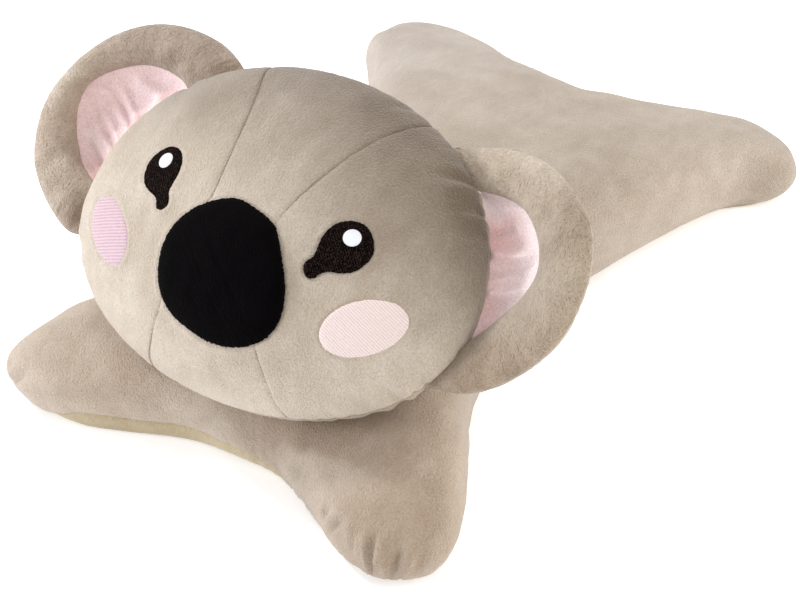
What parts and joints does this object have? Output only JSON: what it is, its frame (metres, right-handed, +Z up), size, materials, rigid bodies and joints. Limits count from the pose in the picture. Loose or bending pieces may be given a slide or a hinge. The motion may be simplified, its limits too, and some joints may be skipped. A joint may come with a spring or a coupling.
{
  "type": "plush koala",
  "caption": "Large plush koala lying flat on its belly with spread limbs, a broad raised head with a padded nose and embroidered face, and round dished ears.",
  "frame": {"origin": "on the floor, under the middle of the toy's length", "axes": "+Z up; the koala faces -Y; +X is its left side"},
  "size_m": [0.5632, 0.807, 0.2976],
  "materials": {
    "plush": "short taupe pile",
    "belly_fabric": "smooth knitted fabric",
    "filling": "loose polyester fibre",
    "nose_plush": "short black pile",
    "eye_thread": "satin stitch, dark brown",
    "glint_thread": "satin stitch, white",
    "cheek_thread": "filled stitch in rows, pale pink",
    "ear_fabric": "short pink pile",
    "seam_fabric": "rolled seam allowance"
  },
  "bodies": {
    "body": {"body_top_panel": "plush", "body_belly_panel": "belly_fabric", "trunk_filling": "filling", "arm_filling_left": "filling", "arm_filling_right": "filling", "leg_filling_left": "filling", "leg_filling_right": "filling", "neck_seam": "seam_fabric"},
    "head": {"head_back_panel": "plush", "face_centre_panel": "plush", "face_side_panel_left": "plush", "face_side_panel_right": "plush", "head_filling": "filling", "nose_cover": "nose_plush", "nose_padding": "filling", "eye_left": "eye_thread", "eye_right": "eye_thread", "eye_glint_left": "glint_thread", "eye_glint_right": "glint_thread", "cheek_left": "cheek_thread", "cheek_right": "cheek_thread"},
    "ear_left": {"ear_outer_panel_left": "plush", "ear_inner_panel_left": "ear_fabric", "ear_back_panel_left": "plush", "ear_filling_left": "filling"},
    "ear_right": {"ear_outer_panel_right": "plush", "ear_inner_panel_right": "ear_fabric", "ear_back_panel_right": "plush", "ear_filling_right": "filling"}
  },
  "joints": [
    {"name": "head_nod", "type": "hinge", "parent": "body", "child": "head", "pos_m": [0, -0.20625, 0.11194], "axis": [-1, 0, 0], "range_deg": [0, 12]},
    {"name": "ear_left_fold", "type": "hinge", "parent": "head", "child": "ear_left", "pos_m": [0.18982, -0.20612, 0.21352], "axis": [-0.3472, 0.7078, 0.6153], "range_deg": [-15, 15], "stiffness_Nm_per_rad": 0.5},
    {"name": "ear_right_fold", "type": "hinge", "parent": "head", "child": "ear_right", "pos_m": [-0.18982, -0.20612, 0.21352], "axis": [-0.3472, -0.7078, -0.6153], "range_deg": [-15, 15], "stiffness_Nm_per_rad": 0.5}
  ]
}
